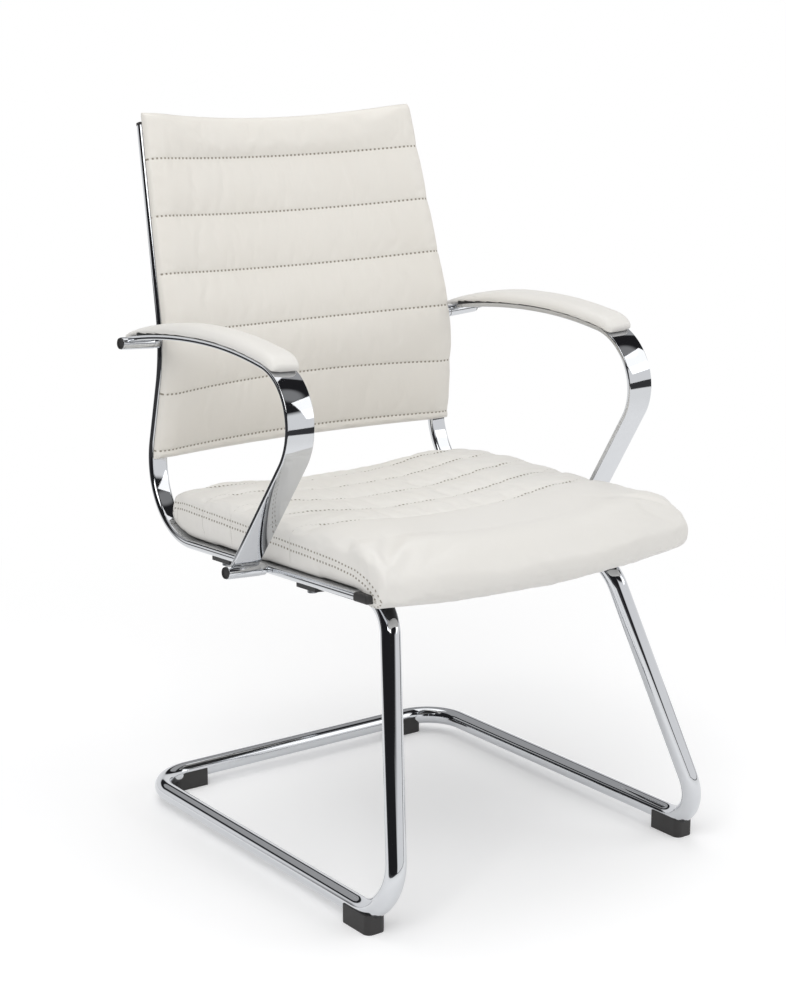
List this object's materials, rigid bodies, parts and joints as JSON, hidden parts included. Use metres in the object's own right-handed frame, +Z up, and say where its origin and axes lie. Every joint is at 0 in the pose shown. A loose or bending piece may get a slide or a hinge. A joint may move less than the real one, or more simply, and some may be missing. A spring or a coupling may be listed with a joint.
{
  "type": "sled base visitor chair",
  "caption": "Visitor chair with a bent tube sled base, leaning flat side rails, channel-stitched seat and back, and flat bar arms with padded tops.",
  "frame": {"origin": "on the floor under the middle of the chair's width and depth", "axes": "+Z up, the chair faces -Y, +X towards the sitter's left"},
  "size_m": [0.6108, 0.6297, 0.9228],
  "materials": {
    "chrome": "polished chrome plate",
    "black_plastic": "moulded, fine grain",
    "white_upholstery": "soft semi-matt imitation leather, ivory white",
    "plywood": "raw birch plywood",
    "black_steel": "black powder coat",
    "zinc_steel": "zinc plated"
  },
  "bodies": {
    "root": {"sled_base": "chrome", "base_end_plugs": "black_plastic", "glide_front_left": "black_plastic", "glide_front_right": "black_plastic", "glide_rear_left": "black_plastic", "glide_rear_right": "black_plastic", "glide_screws": "zinc_steel", "side_rail_left": "chrome", "side_rail_right": "chrome", "rail_top_caps": "black_plastic", "rail_front_caps": "black_plastic", "cross_plate_front": "black_steel", "cross_plate_rear": "black_steel", "rail_bolts": "zinc_steel", "seat_board": "plywood", "seat_bolts": "zinc_steel", "seat_tnuts": "zinc_steel", "seat_cushion": "white_upholstery", "back_cover": "white_upholstery", "back_board": "plywood", "back_cushion": "white_upholstery", "back_screws": "zinc_steel", "arm_bar_left": "chrome", "arm_bar_right": "chrome", "arm_sockets_left": "chrome", "arm_sockets_right": "chrome", "arm_spacers": "chrome", "arm_bolts": "zinc_steel", "arm_plugs": "black_plastic", "arm_pad_core_left": "black_plastic", "arm_pad_core_right": "black_plastic", "arm_pad_left": "white_upholstery", "arm_pad_right": "white_upholstery", "arm_pad_screws": "zinc_steel"}
  },
  "joints": []
}
